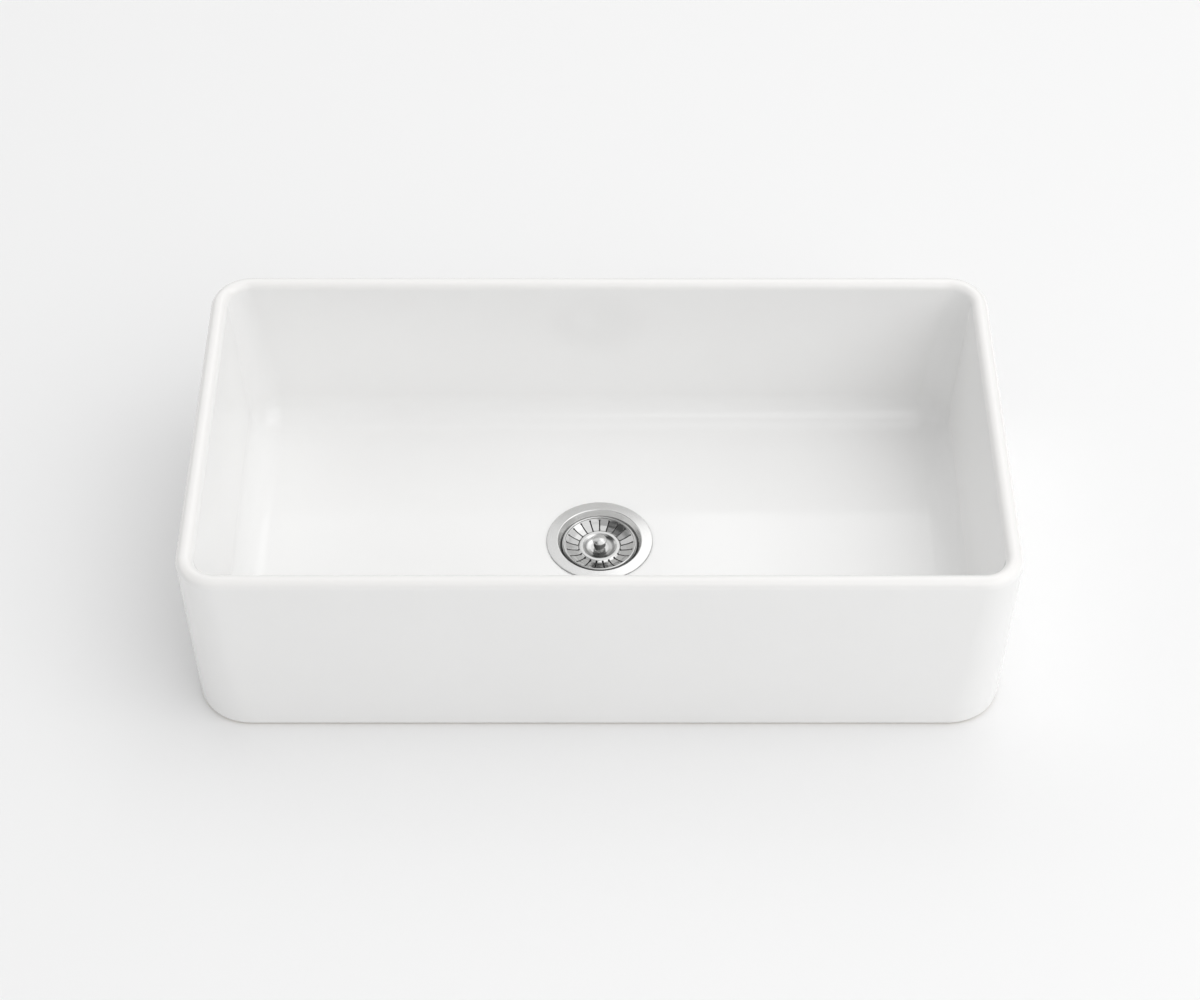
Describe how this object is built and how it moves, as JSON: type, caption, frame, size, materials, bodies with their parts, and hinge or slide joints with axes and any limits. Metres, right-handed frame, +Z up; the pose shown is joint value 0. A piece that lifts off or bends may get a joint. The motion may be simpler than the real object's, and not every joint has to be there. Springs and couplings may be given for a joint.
{
  "type": "farmhouse apron front sink",
  "caption": "Single-bowl ceramic apron sink with rolled rim, centred drain and a lift-out basket strainer.",
  "frame": {"origin": "middle of the base plane that the foot stands on", "axes": "+X along the width, left to right seen from the apron; -Y out of the apron front; +Z up"},
  "size_m": [0.838, 0.457, 0.216],
  "materials": {
    "glaze": "glossy white glaze",
    "steel": "polished stainless",
    "steel_inner": "plain stainless",
    "basket_steel": "polished stainless",
    "knob_metal": "polished",
    "post_brass": "machined",
    "nut_metal": "die cast",
    "rubber": "matt black",
    "foam": "matt white foam",
    "washer_plastic": "natural plastic"
  },
  "bodies": {
    "sink": {"basin": "glaze", "strainer_body": "steel", "flange_seal": "foam", "under_gasket": "rubber", "friction_washer": "washer_plastic", "locknut": "nut_metal", "strainer_crossbar": "steel_inner"},
    "stopper": {"stopper_seal": "rubber"},
    "basket": {"basket_bowl": "basket_steel", "basket_knob": "knob_metal", "basket_post": "post_brass", "post_oring": "rubber", "stem_nut": "post_brass", "seal_washer": "steel_inner"}
  },
  "joints": [
    {"name": "basket_lift", "type": "slide", "parent": "sink", "child": "stopper", "axis": [0, 0, 1], "range_m": [0, 0.22]},
    {"name": "basket_turn", "type": "hinge", "parent": "stopper", "child": "basket", "pos_m": [0, 0, 0.0263], "axis": [0, 0, 1], "continuous": true}
  ]
}
